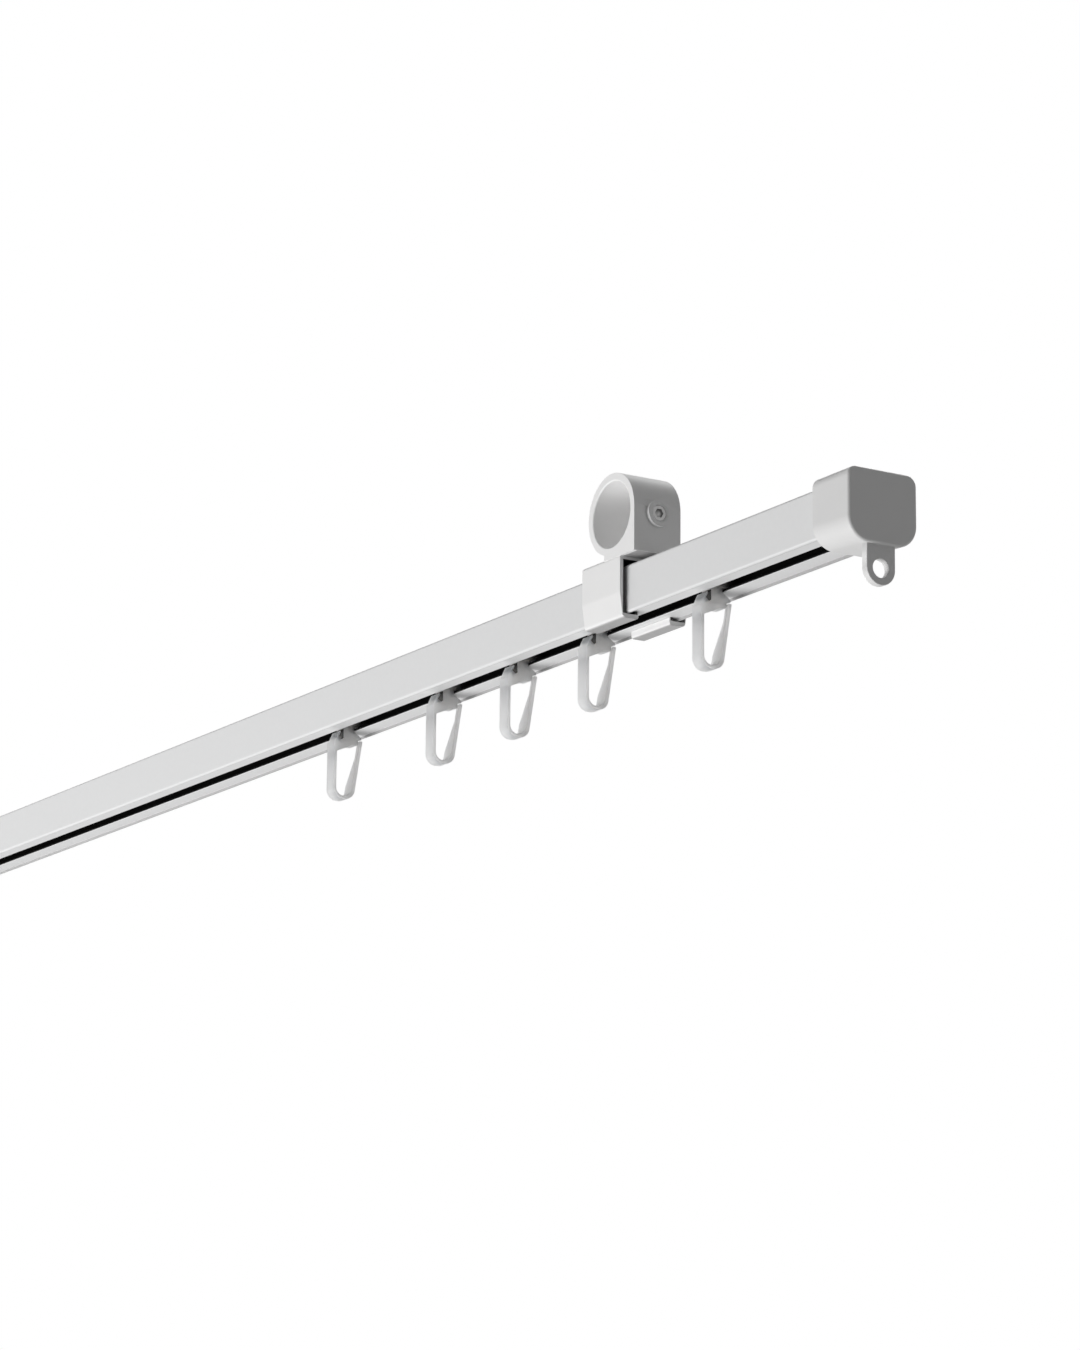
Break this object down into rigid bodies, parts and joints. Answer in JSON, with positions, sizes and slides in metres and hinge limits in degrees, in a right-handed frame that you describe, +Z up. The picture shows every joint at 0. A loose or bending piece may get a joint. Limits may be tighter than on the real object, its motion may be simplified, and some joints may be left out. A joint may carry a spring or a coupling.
{
  "type": "curtain track",
  "caption": "Straight white curtain track: a slotted rail with end caps, ring hangers for round bracket arms, and hook gliders that run in its slot.",
  "frame": {"origin": "centre of the right hanger's ring bore, halfway along the bore", "axes": "+X along the rail to its right end, +Y to the back along the bracket arm, +Z up"},
  "size_m": [0.8052, 0.025, 0.0683],
  "materials": {
    "rail": "white powder coat, satin",
    "cap": "white moulded plastic, satin",
    "hanger": "white moulded plastic, satin",
    "glider": "milky white moulded plastic",
    "screw": "plain steel"
  },
  "bodies": {
    "track": {"rail_crown": "rail", "rail_front_wall": "rail", "rail_rear_wall": "rail", "rail_front_lip": "rail", "rail_rear_lip": "rail", "end_cap_right": "cap", "end_cap_left": "cap", "hanger_right": "hanger", "hanger_left": "hanger", "set_screw_right": "screw", "set_screw_left": "screw"},
    "runner_1": {"glider_1": "glider"},
    "runner_2": {"glider_2": "glider"},
    "runner_3": {"glider_3": "glider"},
    "runner_4": {"glider_4": "glider"},
    "runner_5": {"glider_5": "glider"}
  },
  "joints": [
    {"name": "glider_1_slide", "type": "slide", "parent": "track", "child": "runner_1", "axis": [1, 0, 0], "range_m": [-0.0294, 0.067]},
    {"name": "glider_2_slide", "type": "slide", "parent": "track", "child": "runner_2", "axis": [1, 0, 0], "range_m": [-0.02075, 0.0294]},
    {"name": "glider_3_slide", "type": "slide", "parent": "track", "child": "runner_3", "axis": [1, 0, 0], "range_m": [-0.0208, 0.02075]},
    {"name": "glider_4_slide", "type": "slide", "parent": "track", "child": "runner_4", "axis": [1, 0, 0], "range_m": [-0.0309, 0.0208]},
    {"name": "glider_5_slide", "type": "slide", "parent": "track", "child": "runner_5", "axis": [1, 0, 0], "range_m": [-0.4709, 0.0309]}
  ]
}
